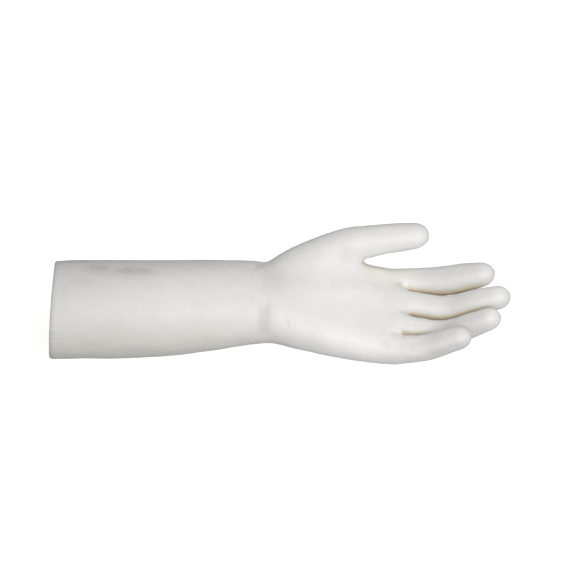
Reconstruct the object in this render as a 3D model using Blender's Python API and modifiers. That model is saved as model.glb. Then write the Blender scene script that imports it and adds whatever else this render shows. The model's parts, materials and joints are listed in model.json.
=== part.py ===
"""Long cryogenic glove, left hand, lying on its back with the palm up.

+X runs from the cuff to the fingertips, +Y towards the thumb side, +Z up out
of the palm.  The origin is the centre of the bounding box's bottom face.

The glove is two seamless layers, a waterproof outer skin and an insulating
liner, closed by one bead at the cuff.  Both layers are divided where a hand
bends them: at the wrist, the knuckles and the finger joints.  At a division
the parts meet along the bending axis and fall away from each other on both
sides of it, by the angle that the joint travels to that side.

"Outside" and "inside" depths are measured inwards from the glove's surface.
"""
import math
from collections import namedtuple

import bmesh
import bpy
from mathutils import Matrix, Vector

# ------------------------------------------------------------------
# Driving dimensions, in millimetres and degrees, from the wrist centre
# ------------------------------------------------------------------
MM = 0.001
WRIST_PLACE = Vector((-10.967, -4.248, 33.7))   # wrist centre in the finished frame
UP = Vector((0, 0, 1))

SKIN_WALL = 0.8
LAYER_GAP = 0.3     # between skin and liner
LINER_WALL = 1.2
CUT_GAP = 0.3       # clearance between neighbouring parts

OVAL_SIDES = 28     # facets round the gauntlet and the palm
LIMB_SIDES = 16     # facets round a finger, the thumb and its mound
TIP_STEPS = 5       # facets from a fingertip's pole to its side
SHARP_ANGLE = 40.0  # edges bent more than this stay sharp

# Oval sections: x, centre y, centre z, half width, half thickness
WRIST = (
    (-6.0, -0.5, 0.2, 36.6, 27.4),
    (0.0, 0.0, 0.0, 36.4, 26.8),
)
GAUNTLET = (
    (-174.8, -14.0, 8.0, 42.0, 38.4),   # the rim
    (-150.0, -12.0, 6.9, 42.0, 38.3),
    (-118.0, -10.4, 5.4, 41.8, 38.2),
    (-87.0, -8.4, 3.9, 41.0, 37.6),
    (-54.0, -5.0, 2.4, 38.9, 34.4),
    (-36.0, -3.2, 1.5, 38.2, 32.8),
    (-20.0, -1.5, 0.8, 37.4, 30.0),
    *WRIST,
    (16.0, -0.8, -1.6, 38.6, 24.8),
)
PALM = (
    (-16.0, -1.2, 0.6, 37.2, 29.2),
    *WRIST,
    (10.0, -0.7, -1.2, 37.6, 25.6),
    (20.0, -1.5, -2.5, 39.4, 24.0),
    (36.0, -3.0, -5.0, 41.6, 21.4),
    (52.0, -4.5, -7.2, 43.2, 19.2),
    (69.0, -5.8, -9.2, 44.6, 17.4),
    (88.0, -6.5, -10.6, 45.6, 15.6),
    (103.0, -6.6, -11.0, 45.9, 14.2),
    (109.5, -6.6, -11.0, 44.6, 11.6),
    (111.8, -6.6, -11.0, 43.0, 8.6),
)
ELLIPSE_POWER = 2.0
PALM_POWER = 2.3        # superellipse power of the squarer palm sections
PALM_POWER_FROM = 8.0   # x where they begin

RIM_SLANT = 0.06        # shift in x for each unit along the slant's direction
RIM_TILT = 33.0         # that direction, turned about X from +Y towards +Z
BEAD_LENGTH = 4.0
BEAD_PROUD = 0.35
BEAD_SLOPE_LENGTH = 0.8   # length over which each end of the bead rises

# Pitches go up from level, one for each segment.  Radii are at the base, the
# middle joint, the end joint and the tip.  Travel is back, towards the palm.
Finger = namedtuple("Finger", "web pitches length radii knuckle_offset middle_travel")
FINGERS = {
    "index": Finger(
        (113.3, 28.9, -13.0), (7.0, 22.3, 25.3), 78.2, (11.3, 11.1, 10.2, 9.4), 12.0, (25.0, 55.0)
    ),
    "middle": Finger(
        (114.4, 5.6, -8.7), (-10.6, 31.5, 23.0), 91.8, (11.3, 11.2, 10.5, 9.8), 13.0, (25.0, 55.0)
    ),
    "ring": Finger(
        (113.2, -17.8, -11.2), (-12.9, 36.9, 36.7), 89.2, (11.2, 10.9, 10.4, 9.8), 14.0, (25.0, 55.0)
    ),
    "little": Finger(
        (108.7, -41.4, -9.4), (15.5, 36.2, 31.7), 66.9, (11.1, 10.7, 10.2, 9.5), 11.0, (25.0, 50.0)
    ),
}
FINGER_YAW = -4.0
SEGMENT_SHARES = (0.37, 0.31, 0.32)   # of the finger's length, from the web

# Finger roots reach back from the web into the palm
ROOT_LENGTH = 16.0
ROOT_NARROWING = 0.6    # off the radius at the buried end
ROOT_PITCH_SHARE = 0.4  # how much of the finger's rise the root keeps

# Mound at the base of the thumb: x, y, z, radius
THUMB_MOUND = (
    (-2.0, 10.0, 1.0, 15.0),
    (20.0, 25.4, 5.0, 18.4),
    (45.0, 36.6, 10.0, 17.4),
    (69.0, 46.0, 14.2, 15.2),
    (89.0, 49.6, 14.8, 13.6),
)
THUMB_POINTS = (THUMB_MOUND[-1][:3], (107.0, 52.6, 15.4), (133.6, 53.6, 19.4))
THUMB_RADII = (THUMB_MOUND[-1][3], 12.2, 10.1)

OVERRUN = 9.0           # material past a joint before the division cuts it
HOLLOW_OVERRUN = 6.0    # the palm's hollow runs this much further still

# Travel of each joint: back, towards the palm
TRAVEL_WRIST = (35.0, 35.0)
TRAVEL_KNUCKLE = (20.0, 45.0)
TRAVEL_END = (15.0, 33.0)
TRAVEL_THUMB_BASE = (10.0, 30.0)
TRAVEL_THUMB_END = (12.0, 40.0)

Finish = namedtuple("Finish", "colour roughness")
BEAD_FINISH = Finish(colour=(0.82, 0.80, 0.76), roughness=0.6)
SKIN_FINISH = Finish(colour=(0.84, 0.83, 0.81), roughness=0.62)
LINER_FINISH = Finish(colour=(0.80, 0.77, 0.69), roughness=0.95)

LINER_OUTSIDE = SKIN_WALL + LAYER_GAP
LINER_INSIDE = LINER_OUTSIDE + LINER_WALL
Layer = namedtuple("Layer", "name outside inside finish")
LAYERS = (
    Layer("shell", 0.0, SKIN_WALL, SKIN_FINISH),
    Layer("liner", LINER_OUTSIDE, LINER_INSIDE, LINER_FINISH),
)

# A division's two cutters: far clears beyond the axis, near clears before it
Division = namedtuple("Division", "far near")

# A finger or thumb.  Joints, ways, lengths and divisions have one entry for
# each part; radii have one more, for the tip.
Limb = namedtuple("Limb", "name parts joints ways lengths radii divisions")

# ------------------------------------------------------------------
# Scene, collections, materials
# ------------------------------------------------------------------
for old in list(bpy.data.objects):
    bpy.data.objects.remove(old, do_unlink=True)

glove = bpy.data.collections.new("cryogenic_glove")
cutters = bpy.data.collections.new("cutters")
bpy.context.scene.collection.children.link(glove)
bpy.context.scene.collection.children.link(cutters)


def material(name, finish):
    made = bpy.data.materials.new(name)
    made.use_nodes = True
    shader = made.node_tree.nodes["Principled BSDF"]
    shader.inputs["Base Color"].default_value = (*finish.colour, 1.0)
    shader.inputs["Roughness"].default_value = finish.roughness
    shader.inputs["Metallic"].default_value = 0.0
    return made


# ------------------------------------------------------------------
# Directions and rings of points
# ------------------------------------------------------------------
def place(point):
    """A point in millimetres from the wrist, in the finished frame."""
    return (point + WRIST_PLACE) * MM


def direction(yaw, pitch):
    yaw, pitch = math.radians(yaw), math.radians(pitch)
    level = math.cos(pitch)
    return Vector((math.cos(yaw) * level, math.sin(yaw) * level, math.sin(pitch)))


def halfway(way, next_way):
    return (way + next_way).normalized()


def across(forward):
    """Two directions square to a limb: level towards the thumb side, and up."""
    side = UP.cross(forward).normalized()
    return side, forward.cross(side)


def oval_ring(section, depth, power):
    """Superellipse across X, a depth inside the section."""
    x, y, z, half_width, half_height = section
    points = []
    for k in range(OVAL_SIDES):
        angle = 2 * math.pi * k / OVAL_SIDES
        cosine, sine = math.cos(angle), math.sin(angle)
        out_y = (half_width - depth) * math.copysign(abs(cosine) ** (2 / power), cosine)
        out_z = (half_height - depth) * math.copysign(abs(sine) ** (2 / power), sine)
        points.append(Vector((x, y + out_y, z + out_z)))
    return points


def rim_ring(distance, depth):
    """The slanted rim moved along the gauntlet by a distance."""
    x, *oval = GAUNTLET[0]
    ring = oval_ring((x + distance, *oval), depth, ELLIPSE_POWER)
    tilt = math.radians(RIM_TILT)
    for point in ring:
        point.x += RIM_SLANT * (point.y * math.cos(tilt) + point.z * math.sin(tilt))
    return ring


def round_ring(centre, forward, radius):
    side, up = across(forward)
    angles = [2 * math.pi * k / LIMB_SIDES for k in range(LIMB_SIDES)]
    return [centre + side * radius * math.cos(a) + up * radius * math.sin(a) for a in angles]


# ------------------------------------------------------------------
# Objects
# ------------------------------------------------------------------
def add_object(name, bm, finish=None):
    """A part of the glove if it has a finish, otherwise a hidden helper."""
    bmesh.ops.recalc_face_normals(bm, faces=bm.faces)
    mesh = bpy.data.meshes.new(name)
    bm.to_mesh(mesh)
    bm.free()
    made = bpy.data.objects.new(name, mesh)
    if finish:
        glove.objects.link(made)
        mesh.shade_smooth()
        mesh.set_sharp_from_angle(angle=math.radians(SHARP_ANGLE))
        mesh.materials.append(material(name, finish))
    else:
        cutters.objects.link(made)
        made.hide_render = True
        made.display_type = "WIRE"
    return made


def loft(name, rings, finish=None, closed=False):
    """Quads between rings; closed joins last to first, otherwise the ends are capped."""
    bm = bmesh.new()
    rows = [[bm.verts.new(place(point)) for point in ring] for ring in rings]
    pairs = list(zip(rows, rows[1:]))
    if closed:
        pairs.append((rows[-1], rows[0]))
    for row, next_row in pairs:
        count = len(row)
        for k in range(count):
            after = (k + 1) % count
            bm.faces.new((row[k], row[after], next_row[after], next_row[k]))
    if not closed:
        bm.faces.new(rows[0])
        bm.faces.new(rows[-1])
    return add_object(name, bm, finish)


def tube_loft(name, outside, inside, finish):
    """A hollow tube: the outside rings, then the inside rings back again."""
    return loft(name, outside + inside[::-1], finish, closed=True)


def turned(name, start, forward, profile, closed, finish):
    """A profile (radius, distance along forward) turned about the limb's line."""
    bm = bmesh.new()
    verts = [bm.verts.new((radius * MM, 0, distance * MM)) for radius, distance in profile]
    for vert, next_vert in zip(verts, verts[1:]):
        bm.edges.new((vert, next_vert))
    if closed:
        bm.edges.new((verts[-1], verts[0]))
    mesh = bpy.data.meshes.new(name)
    bm.to_mesh(mesh)
    bm.free()
    mesh.materials.append(material(name, finish))
    made = bpy.data.objects.new(name, mesh)
    glove.objects.link(made)
    turn = Matrix((*across(forward), forward)).transposed().to_4x4()
    made.matrix_world = Matrix.Translation(place(start)) @ turn
    screw = made.modifiers.new("turned", "SCREW")
    screw.axis = "Z"
    screw.steps = screw.render_steps = LIMB_SIDES
    screw.angle = 2 * math.pi
    screw.use_merge_vertices = True
    screw.merge_threshold = 0.00001
    screw.use_smooth_shade = True
    return made


def boolean(target, other, operation="DIFFERENCE"):
    modifier = target.modifiers.new(other.name, "BOOLEAN")
    modifier.object = other
    modifier.operation = operation
    modifier.solver = "EXACT"


# ------------------------------------------------------------------
# Divisions
# ------------------------------------------------------------------
def division_cutter(name, hinge, forward, travel, half_width, height, reach):
    """A notched block beyond the hinge; each notch face leans by half the travel."""
    back, palm = (math.tan(math.radians(angle / 2)) for angle in travel)
    side, up = across(forward)
    half_gap = CUT_GAP / 2
    outline = [   # distance past the hinge, height above it
        (-half_gap, 0.0),
        (-half_gap - palm * height, height),
        (reach, height),
        (reach, -height),
        (-half_gap - back * height, -height),
    ]
    return outline_block(name, hinge, outline, forward, up, side, half_width)


def outline_block(name, hinge, outline, past, up, side, half_width):
    """An outline in the plane of past and up, thickened evenly to both sides."""
    bm = bmesh.new()
    corners = [hinge + past * u + up * v - side * half_width for u, v in outline]
    face = bm.faces.new([bm.verts.new(place(corner)) for corner in corners])
    extruded = bmesh.ops.extrude_face_region(bm, geom=[face])
    bmesh.ops.translate(
        bm,
        vec=side * 2 * half_width * MM,
        verts=[item for item in extruded["geom"] if isinstance(item, bmesh.types.BMVert)],
    )
    return add_object(name, bm)


def division(name, hinge, forward, travel, half_width, height, reach, near_reach=None):
    """Both cutters of a joint; reach is how far each extends from the hinge."""
    back, palm = (math.tan(math.radians(angle / 2)) for angle in travel)
    side, up = across(forward)
    half_gap = CUT_GAP / 2

    def cutter(suffix, past, length):
        outline = [   # distance past the hinge, height above it
            (-half_gap, 0.0),
            (-half_gap - palm * height, height),
            (length, height),
            (length, -height),
            (-half_gap - back * height, -height),
        ]
        return outline_block(f"{name}_{suffix}", hinge, outline, past, up, side, half_width)

    return Division(
        far=cutter("far", forward, reach),
        near=cutter("near", -forward, near_reach or reach),
    )


del division_cutter   # division() makes both of a joint's cutters


# ------------------------------------------------------------------
# Cuff bead and gauntlet
# ------------------------------------------------------------------
def build_cuff_bead():
    outside = [
        rim_ring(0.0, 0.0),
        rim_ring(BEAD_SLOPE_LENGTH, -BEAD_PROUD),
        rim_ring(BEAD_LENGTH - BEAD_SLOPE_LENGTH, -BEAD_PROUD),
        rim_ring(BEAD_LENGTH, 0.0),
    ]
    inside = [rim_ring(distance, LINER_INSIDE) for distance in (0.0, BEAD_LENGTH)]
    tube_loft("cuff_bead", outside, inside, BEAD_FINISH)


def gauntlet_rings(depth):
    start = rim_ring(BEAD_LENGTH + CUT_GAP, depth)
    return [start] + [oval_ring(section, depth, ELLIPSE_POWER) for section in GAUNTLET[1:]]


def build_gauntlet(layer, wrist):
    outside, inside = gauntlet_rings(layer.outside), gauntlet_rings(layer.inside)
    tube = tube_loft(f"gauntlet_{layer.name}", outside, inside, layer.finish)
    boolean(tube, wrist.far)


# ------------------------------------------------------------------
# Palm: an oval loft joined to the thumb mound and four finger roots
# ------------------------------------------------------------------
def palm_rings(depth, overrun):
    """The wrist end is lengthened by the overrun; the finger end is set in by the depth."""
    rings = []
    for k, (x, *oval) in enumerate(PALM):
        power = ELLIPSE_POWER if x < PALM_POWER_FROM else PALM_POWER
        if k == 0:
            x -= overrun
        elif k == len(PALM) - 1:
            x -= depth
        rings.append(oval_ring((x, *oval), depth, power))
    return rings


def mound_rings(depth, overrun):
    points = [Vector(station[:3]) for station in THUMB_MOUND]
    radii = [station[3] for station in THUMB_MOUND]
    last_step = points[-1] - points[-2]
    slope = (radii[-1] - radii[-2]) / last_step.length
    points.append(points[-1] + last_step.normalized() * (OVERRUN + overrun))
    radii.append(radii[-1] + slope * (OVERRUN + overrun))
    rings = []
    for k, (point, radius) in enumerate(zip(points, radii)):
        before = points[max(k - 1, 0)]
        after = points[min(k + 1, len(points) - 1)]
        way = (after - before).normalized()
        centre = point + way * depth if k == 0 else point
        rings.append(round_ring(centre, way, radius - depth))
    return rings


def root_rings(limb, depth, overrun):
    web = Vector(FINGERS[limb.name].web)
    way, knuckle = limb.ways[0], limb.joints[0]
    radius = limb.radii[0] - depth
    lean = Vector((way.x, way.y, way.z * ROOT_PITCH_SHARE)).normalized()
    return [
        round_ring(web - lean * (ROOT_LENGTH - depth), lean, radius - ROOT_NARROWING),
        round_ring(web, halfway(way, lean), radius),
        round_ring(knuckle + way * (OVERRUN + overrun), way, radius),
    ]


def build_palm(layer, wrist, fingers, thumb):
    name = f"palm_{layer.name}"
    palm = loft(name, palm_rings(layer.outside, 0.0), layer.finish)
    hollow = loft(f"{name}_hollow", palm_rings(layer.inside, HOLLOW_OVERRUN))
    for body, depth, overrun in (
        (palm, layer.outside, 0.0),
        (hollow, layer.inside, HOLLOW_OVERRUN),
    ):
        mound = loft(f"{body.name}_thumb_mound", mound_rings(depth, overrun))
        boolean(body, mound, "UNION")
        for finger in fingers:
            root = loft(f"{body.name}_{finger.name}_root", root_rings(finger, depth, overrun))
            boolean(body, root, "UNION")
    boolean(palm, hollow)
    boolean(palm, wrist.near)
    for limb in (thumb, *fingers):
        boolean(palm, limb.divisions[0].far)


# ------------------------------------------------------------------
# Fingers and thumb
# ------------------------------------------------------------------
def tube_profile(length, start_radius, end_radius, outside, inside):
    """Wall of a tapered tube between two depths, running past both ends."""
    slope = (end_radius - start_radius) / length
    top, bottom = length + OVERRUN, -OVERRUN
    top_radius, bottom_radius = start_radius + slope * top, start_radius + slope * bottom
    return [
        (top_radius - outside, top),
        (bottom_radius - outside, bottom),
        (bottom_radius - inside, bottom),
        (top_radius - inside, top),
    ]


def tip_arc(length, tip_radius, depth):
    """Quarter circle from the pole of a fingertip to its side."""
    angles = [math.radians(90 * k / TIP_STEPS) for k in range(TIP_STEPS + 1)]
    centre, radius = length - tip_radius, tip_radius - depth
    return [(radius * math.sin(a), centre + radius * math.cos(a)) for a in angles]


def cap_profile(length, start_radius, tip_radius, outside, inside):
    """Wall of a closed finger end, from the axis round and back to the axis."""
    slope = (tip_radius - start_radius) / (length - tip_radius)
    bottom = -OVERRUN
    bottom_radius = start_radius + slope * bottom
    return [
        *tip_arc(length, tip_radius, outside),
        (bottom_radius - outside, bottom),
        (bottom_radius - inside, bottom),
        *reversed(tip_arc(length, tip_radius, inside)),
    ]


def finger_limb(name, finger):
    ways = [direction(FINGER_YAW, pitch) for pitch in finger.pitches]
    first, second, third = (finger.length * share for share in SEGMENT_SHARES)
    web = Vector(finger.web)
    knuckle = web + ways[0] * finger.knuckle_offset
    middle = web + ways[0] * first
    end = middle + ways[1] * second
    joint_size = {"half_width": 13, "height": 22, "reach": 18}
    divisions = (
        division(
            f"{name}_knuckle", knuckle, ways[0], TRAVEL_KNUCKLE,
            half_width=11.6, height=15, reach=30, near_reach=14,
        ),
        division(
            f"{name}_middle_joint", middle, halfway(ways[0], ways[1]),
            finger.middle_travel, **joint_size,
        ),
        division(
            f"{name}_end_joint", end, halfway(ways[1], ways[2]), TRAVEL_END, **joint_size
        ),
    )
    return Limb(
        name=name,
        parts=("proximal", "middle", "tip"),
        joints=(knuckle, middle, end),
        ways=ways,
        lengths=(first - finger.knuckle_offset, second, third),
        radii=finger.radii,
        divisions=divisions,
    )


def thumb_limb():
    base, end, tip = (Vector(point) for point in THUMB_POINTS)
    steps = (end - base, tip - end)
    ways = [step.normalized() for step in steps]
    divisions = (
        division(
            "thumb_base", base, ways[0], TRAVEL_THUMB_BASE, half_width=17, height=18, reach=22
        ),
        division(
            "thumb_end", end, halfway(*ways), TRAVEL_THUMB_END, half_width=16, height=16, reach=16
        ),
    )
    return Limb(
        name="thumb",
        parts=("base", "tip"),
        joints=(base, end),
        ways=ways,
        lengths=[step.length for step in steps],
        radii=THUMB_RADII,
        divisions=divisions,
    )


def build_limb(limb, layer):
    """Open tubes up to the last joint, then a closed tip."""
    last = len(limb.parts) - 1
    for k, part in enumerate(limb.parts):
        wall = cap_profile if k == last else tube_profile
        profile = wall(
            limb.lengths[k], limb.radii[k], limb.radii[k + 1], layer.outside, layer.inside
        )
        piece = turned(
            f"{limb.name}_{part}_{layer.name}", limb.joints[k], limb.ways[k], profile,
            closed=k < last, finish=layer.finish,
        )
        boolean(piece, limb.divisions[k].near)
        if k < last:
            boolean(piece, limb.divisions[k + 1].far)


# ------------------------------------------------------------------
# Assembly
# ------------------------------------------------------------------
wrist_division = division(
    "wrist", Vector((0, 0, 0)), Vector((1, 0, 0)), TRAVEL_WRIST, half_width=46, height=36, reach=40
)
finger_limbs = [finger_limb(name, finger) for name, finger in FINGERS.items()]
thumb = thumb_limb()

build_cuff_bead()
for layer in LAYERS:
    build_gauntlet(layer, wrist_division)
    build_palm(layer, wrist_division, finger_limbs, thumb)
    for limb in (*finger_limbs, thumb):
        build_limb(limb, layer)
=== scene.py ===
"""Looks of a long cryogenic glove: one seamless dipped skin and its knitted lining.

Each layer is built as one welded surface, then cut into closed pieces where the hand bends.
Lengths are millimetres in the glove's own frame unless a comment says otherwise: the wrist is
the origin, +X runs to the fingertips, +Y to the thumb side and +Z out of the palm.
put() moves them into the row frame, in metres.
"""
import json
import math

import bmesh
import bpy
import numpy as np
import openvdb
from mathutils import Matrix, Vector


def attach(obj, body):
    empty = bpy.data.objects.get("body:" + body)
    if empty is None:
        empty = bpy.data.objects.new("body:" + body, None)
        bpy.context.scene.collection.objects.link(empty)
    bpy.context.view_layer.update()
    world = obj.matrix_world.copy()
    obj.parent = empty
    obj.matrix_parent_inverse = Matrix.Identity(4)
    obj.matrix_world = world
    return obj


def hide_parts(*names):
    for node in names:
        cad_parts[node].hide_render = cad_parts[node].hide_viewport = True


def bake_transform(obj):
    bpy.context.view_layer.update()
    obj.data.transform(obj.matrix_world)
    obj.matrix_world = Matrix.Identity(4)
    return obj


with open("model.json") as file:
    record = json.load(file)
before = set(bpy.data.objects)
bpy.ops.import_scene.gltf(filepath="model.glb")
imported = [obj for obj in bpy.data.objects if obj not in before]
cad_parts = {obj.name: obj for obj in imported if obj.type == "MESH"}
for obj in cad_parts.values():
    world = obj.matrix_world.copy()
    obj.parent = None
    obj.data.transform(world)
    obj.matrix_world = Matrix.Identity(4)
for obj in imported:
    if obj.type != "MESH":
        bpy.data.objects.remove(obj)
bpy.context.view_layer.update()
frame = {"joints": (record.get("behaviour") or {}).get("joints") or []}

JOINTS = {joint["name"]: joint for joint in frame["joints"]}
SHIFT = np.array(JOINTS["wrist_flex"]["pos_m"]) * 1000.0
MM = 0.001

# The view is tilted about X: TOWARD points to the camera, UPWARD up the view.
TILT = math.radians(33.0)
TOWARD = np.array([0.0, -math.sin(TILT), math.cos(TILT)])
UPWARD = np.array([0.0, math.cos(TILT), math.sin(TILT)])

FAR = 1e9


def put(points):
    return (np.asarray(points, float) + SHIFT) * MM


def hinge(name):
    return np.array(JOINTS[name]["pos_m"]) * 1000.0 - SHIFT


def norm(vector):
    vector = np.asarray(vector, float)
    return vector / np.linalg.norm(vector)


def unit_rows(rows):
    return rows / np.maximum(np.linalg.norm(rows, axis=1), 1e-12)[:, None]


def smooth(share):
    share = np.clip(share, 0.0, 1.0)
    return share * share * (3 - 2 * share)


def smooth_min(first, second, blend):
    near = np.maximum(blend - np.abs(first - second), 0) / blend
    return np.minimum(first, second) - near * near * near * blend / 6


def view_height(y, z):
    return y * math.cos(TILT) + z * math.sin(TILT)


# ------------------------------------------------------------------
# Form: sections of the arm and hand, finger and thumb lines
# ------------------------------------------------------------------
# x, centre y, centre z, half width, half thickness, squareness
SECTIONS = np.array([
    (-186.0, -14.0, 8.4, 41.1, 38.2, 2.0),
    (-150.0, -11.3, 6.9, 41.2, 38.1, 2.0),
    (-118.0, -10.4, 5.4, 41.0, 38.0, 2.0),
    (-87.0, -9.0, 3.9, 40.4, 37.6, 2.0),
    (-54.0, -5.6, 2.4, 39.1, 34.4, 2.0),
    (-36.0, -3.9, 1.5, 38.6, 32.4, 2.0),
    (-20.0, -1.5, 0.8, 37.2, 29.6, 2.0),
    (-6.0, -0.5, 0.2, 36.3, 27.2, 2.0),
    (4.0, 0.0, -0.3, 35.5, 26.2, 2.05),
    (14.0, -0.8, -1.4, 36.8, 24.6, 2.1),
    (26.0, -2.2, -3.2, 38.8, 22.4, 2.15),
    (40.0, -2.8, -4.4, 39.8, 20.6, 2.2),
    (55.0, -4.6, -5.6, 41.8, 19.4, 2.25),
    (70.0, -5.6, -7.4, 42.8, 17.8, 2.3),
    (88.0, -6.2, -9.4, 44.0, 15.8, 2.35),
    (104.0, -5.8, -10.6, 43.8, 13.8, 2.4),
    (124.0, -6.7, -11.4, 45.2, 12.2, 2.4),
])
TABLE_X = np.arange(-200.0, 141.0, 1.0)
SECTION_BLUR = 4.0  # standard deviation, in table steps
BLUR_REACH = 14  # steps to each side


def table_column(column):
    """One column of SECTIONS at every TABLE_X, eased so that no station shows."""
    raw = np.interp(TABLE_X, SECTIONS[:, 0], SECTIONS[:, column])
    kernel = np.exp(-0.5 * (np.arange(-BLUR_REACH, BLUR_REACH + 1) / SECTION_BLUR) ** 2)
    kernel /= kernel.sum()
    before = raw[0] + (raw[1] - raw[0]) * np.arange(-BLUR_REACH, 0)
    after = raw[-1] + (raw[-1] - raw[-2]) * np.arange(1, BLUR_REACH + 1)
    return np.convolve(np.concatenate([before, raw, after]), kernel, "valid")


TABLE = [table_column(column) for column in range(1, 6)]


def section(x):
    """Centre y, centre z, half width, half thickness and squareness at x."""
    return [np.interp(x, TABLE_X, column) for column in TABLE]


# radii: at the base, middle joint, end joint and tip
# cuts: where the palm ends, then the piece ends, along the line
# zone: half length of the bend at the knuckle, middle and end joints
FINGERS = {
    "index": dict(
        base=(113.3, 27.9, -13.0), yaw=-4.2, pitch=(7.0, 22.3, 25.3), length=78.2,
        radii=(10.8, 12.0, 11.5, 9.6), cuts=(5.0, 19.6, 40.6), zone=(6.8, 8.2, 8.5)),
    "middle": dict(
        base=(114.4, 3.6, -8.7), yaw=-3.1, pitch=(-10.6, 31.5, 23.0), length=91.8,
        radii=(11.0, 10.5, 10.0, 9.6), cuts=(6.0, 20.6, 48.2), zone=(6.8, 8.2, 9.0)),
    "ring": dict(
        base=(113.2, -19.0, -11.2), yaw=-2.8, pitch=(-12.9, 36.9, 36.7), length=88.8,
        radii=(10.9, 10.8, 10.0, 9.0), cuts=(7.0, 21.6, 47.0), zone=(6.8, 7.6, 9.0)),
    "little": dict(
        base=(108.7, -41.4, -9.4), yaw=-4.0, pitch=(15.5, 36.2, 31.7), length=66.9,
        radii=(10.9, 10.6, 9.9, 9.2), cuts=(5.0, 17.4, 35.0), zone=(5.8, 7.2, 8.0)),
}
SHARE = (0.37, 0.31, 0.32)  # each finger bone's part of the length
KNUCKLE_PLACE = 8.0  # along the finger line

# Chains of balls: x, y, z, radius
THENAR = np.array([
    (-4.0, 8.0, 0.3, 14.2),
    (20.0, 24.8, 5.0, 17.7),
    (45.0, 37.2, 10.0, 16.6),
    (69.0, 46.2, 13.8, 14.8),
    (89.0, 50.4, 15.0, 12.3),
    (107.0, 52.8, 15.5, 11.9),
])
HYPOTHENAR = np.array([
    (14.0, -16.0, -1.0, 13.5), (46.0, -27.8, -3.4, 15.2),
    (76.0, -34.4, -7.4, 13.0), (100.0, -38.2, -9.4, 10.4),
])
PALM_PAD = np.array([
    (24.0, 4.0, 1.5, 18.5), (50.0, 9.0, -1.2, 18.5),
    (76.0, 8.0, -5.4, 16.0), (98.0, 4.0, -9.2, 12.4),
])
INDEX_PAD = np.array([
    (44.0, 21.0, 5.0, 13.0), (70.0, 25.0, 1.2, 11.0),
    (92.0, 23.0, -5.8, 10.2), (107.0, 24.0, -11.4, 9.2),
])
WEB = np.array([(58.0, 36.4, 5.0, 6.0), (77.0, 34.9, -1.6, 4.2), (94.0, 31.4, -6.0, 4.2)])
THUMB_END = np.array([133.9, 53.4, 19.6])


def rounded_chain(points, parts=5):
    """The same chain of balls along a curve through them, so that no corner shows."""
    ends = np.concatenate([[2 * points[0] - points[1]], points, [2 * points[-1] - points[-2]]])
    found = []
    for p0, p1, p2, p3 in zip(ends, ends[1:], ends[2:], ends[3:]):
        for t in np.arange(parts) / parts:
            found.append(0.5 * (
                2 * p1 + (p2 - p0) * t + (2 * p0 - 5 * p1 + 4 * p2 - p3) * t * t
                + (3 * p1 - p0 - 3 * p2 + p3) * t ** 3))
    return np.array(found + [points[-1]])


THENAR_LINE = rounded_chain(THENAR)


class Limb:
    """A finger's or thumb's centre line, by distance from its base."""

    def __init__(self, name, base, yaws, pitches, lengths, radii, soften, cuts, zone):
        self.name, self.cuts, self.zone = name, cuts, zone
        parts = ("base", "middle", "tip") if len(cuts) == 3 else ("base", "tip")
        self.labels = [f"{name}_{part}" for part in parts]
        step = 0.25
        self.total = sum(lengths)
        self.s = np.arange(-30.0, self.total + step, step)
        self.joints = np.cumsum(lengths)[:-1]
        pitch = np.full(len(self.s), float(pitches[0]))
        yaw = np.full(len(self.s), float(yaws[0]))
        for k, (joint, soft) in enumerate(zip(self.joints, soften)):
            share = smooth((self.s - joint + soft) / (2 * soft))
            pitch += (pitches[k + 1] - pitches[k]) * share
            yaw += (yaws[k + 1] - yaws[k]) * share
        pitch, yaw = np.radians(pitch), np.radians(yaw)
        self.way = np.stack(
            [np.cos(yaw) * np.cos(pitch), np.sin(yaw) * np.cos(pitch), np.sin(pitch)], 1)
        run = np.cumsum(self.way * step, axis=0)
        zero = int(np.argmin(np.abs(self.s)))
        self.line = np.asarray(base, float) + run - run[zero]
        stations = np.concatenate([[0.0], self.joints, [self.total - radii[-1] * 0.9]])
        raw = np.interp(self.s, stations, radii)
        kernel = np.hanning(49)
        kernel /= kernel.sum()
        self.radius = np.convolve(np.pad(raw, 24, mode="edge"), kernel, "valid")

    def at(self, s):
        """Point, heading and radius at distance s."""
        point = np.array([np.interp(s, self.s, self.line[:, k]) for k in range(3)])
        way = norm([np.interp(s, self.s, self.way[:, k]) for k in range(3)])
        return point, way, float(np.interp(s, self.s, self.radius))

    def axes(self, way):
        """A level side direction, towards +Y, and the palm-side direction."""
        side = norm(np.cross([0, 0, 1.0], way))
        return side, np.cross(way, side)


def angles_of(vector):
    vector = norm(vector)
    yaw = math.degrees(math.atan2(vector[1], vector[0]))
    return yaw, math.degrees(math.asin(vector[2]))


def make_thumb():
    base, middle = THENAR[4, :3], THENAR[5, :3]
    bones = (middle - base, THUMB_END - middle)
    yaws, pitches = zip(*[angles_of(bone) for bone in bones])
    return Limb(
        "thumb", base, yaws, pitches, [np.linalg.norm(bone) for bone in bones],
        radii=(12.2, 11.7, 10.3), soften=(9.0,), cuts=(-6.8, 9.0), zone=(7.0, 8.5))


LIMBS = {
    name: Limb(
        name, row["base"], (row["yaw"],) * 3, row["pitch"],
        [row["length"] * share for share in SHARE], row["radii"],
        soften=(15.0, 12.0), cuts=row["cuts"], zone=row["zone"])
    for name, row in FINGERS.items()
}
LIMBS["thumb"] = make_thumb()

TIP_ROUND = 1.3  # length of a rounded tip, in tip radii


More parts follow.
